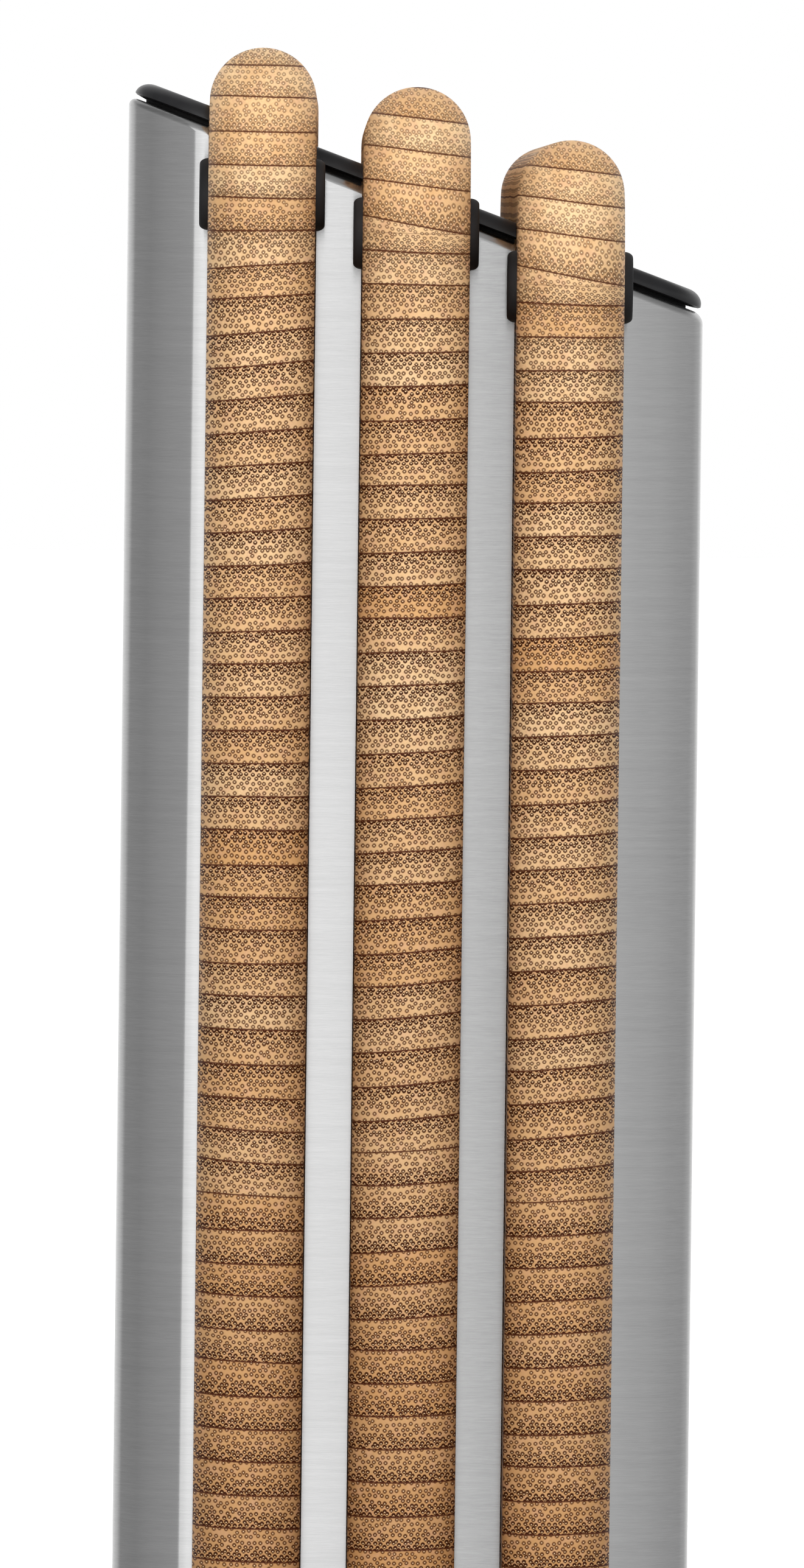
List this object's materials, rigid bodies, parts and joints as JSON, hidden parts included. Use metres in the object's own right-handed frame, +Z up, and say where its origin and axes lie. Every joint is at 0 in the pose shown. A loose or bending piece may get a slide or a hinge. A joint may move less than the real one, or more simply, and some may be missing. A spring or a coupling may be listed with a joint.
{
  "type": "cutting board block",
  "caption": "Stainless-steel housing with a slanted black cap that holds bamboo cutting boards on edge, stepped in height; each lifts straight out.",
  "frame": {"origin": "on the ground, under the middle of the object's overall box", "axes": "+Z up, the boards stick out of the front towards -Y, +X to the right, where the slanted top is lowest"},
  "size_m": [0.0868, 0.362, 0.2817],
  "materials": {
    "stainless": "fine horizontal brushed grain",
    "black_plastic": "satin moulded black",
    "base_plastic": "fine spark-eroded texture",
    "gasket_rubber": "matt",
    "screw_steel": "bright zinc plated",
    "base_rubber": "matt",
    "pad_rubber": "matt",
    "bamboo": "satin lacquer over laminated bamboo",
    "foot_rubber": "matt moulded"
  },
  "bodies": {
    "housing": {"steel_shell": "stainless", "top_cap": "black_plastic", "cap_gasket": "gasket_rubber", "base_tray": "base_plastic", "base_screws": "screw_steel", "base_foot_front_left": "base_rubber", "base_foot_front_right": "base_rubber", "base_foot_rear_left": "base_rubber", "base_foot_rear_right": "base_rubber", "left_side_guide": "black_plastic", "left_divider": "black_plastic", "right_divider": "black_plastic", "right_side_guide": "black_plastic", "left_rest_pad": "pad_rubber", "centre_rest_pad": "pad_rubber", "right_rest_pad": "pad_rubber"},
    "left_board": {"left_board": "bamboo", "left_board_feet_left": "foot_rubber", "left_board_feet_right": "foot_rubber"},
    "centre_board": {"centre_board": "bamboo", "centre_board_feet_left": "foot_rubber", "centre_board_feet_right": "foot_rubber"},
    "right_board": {"right_board": "bamboo", "right_board_feet_left": "foot_rubber", "right_board_feet_right": "foot_rubber"}
  },
  "joints": [
    {"name": "left_board_lift", "type": "slide", "parent": "housing", "child": "left_board", "axis": [0, 0, 1], "range_m": [0, 0.27]},
    {"name": "centre_board_lift", "type": "slide", "parent": "housing", "child": "centre_board", "axis": [0, 0, 1], "range_m": [0, 0.27]},
    {"name": "right_board_lift", "type": "slide", "parent": "housing", "child": "right_board", "axis": [0, 0, 1], "range_m": [0, 0.27]}
  ]
}
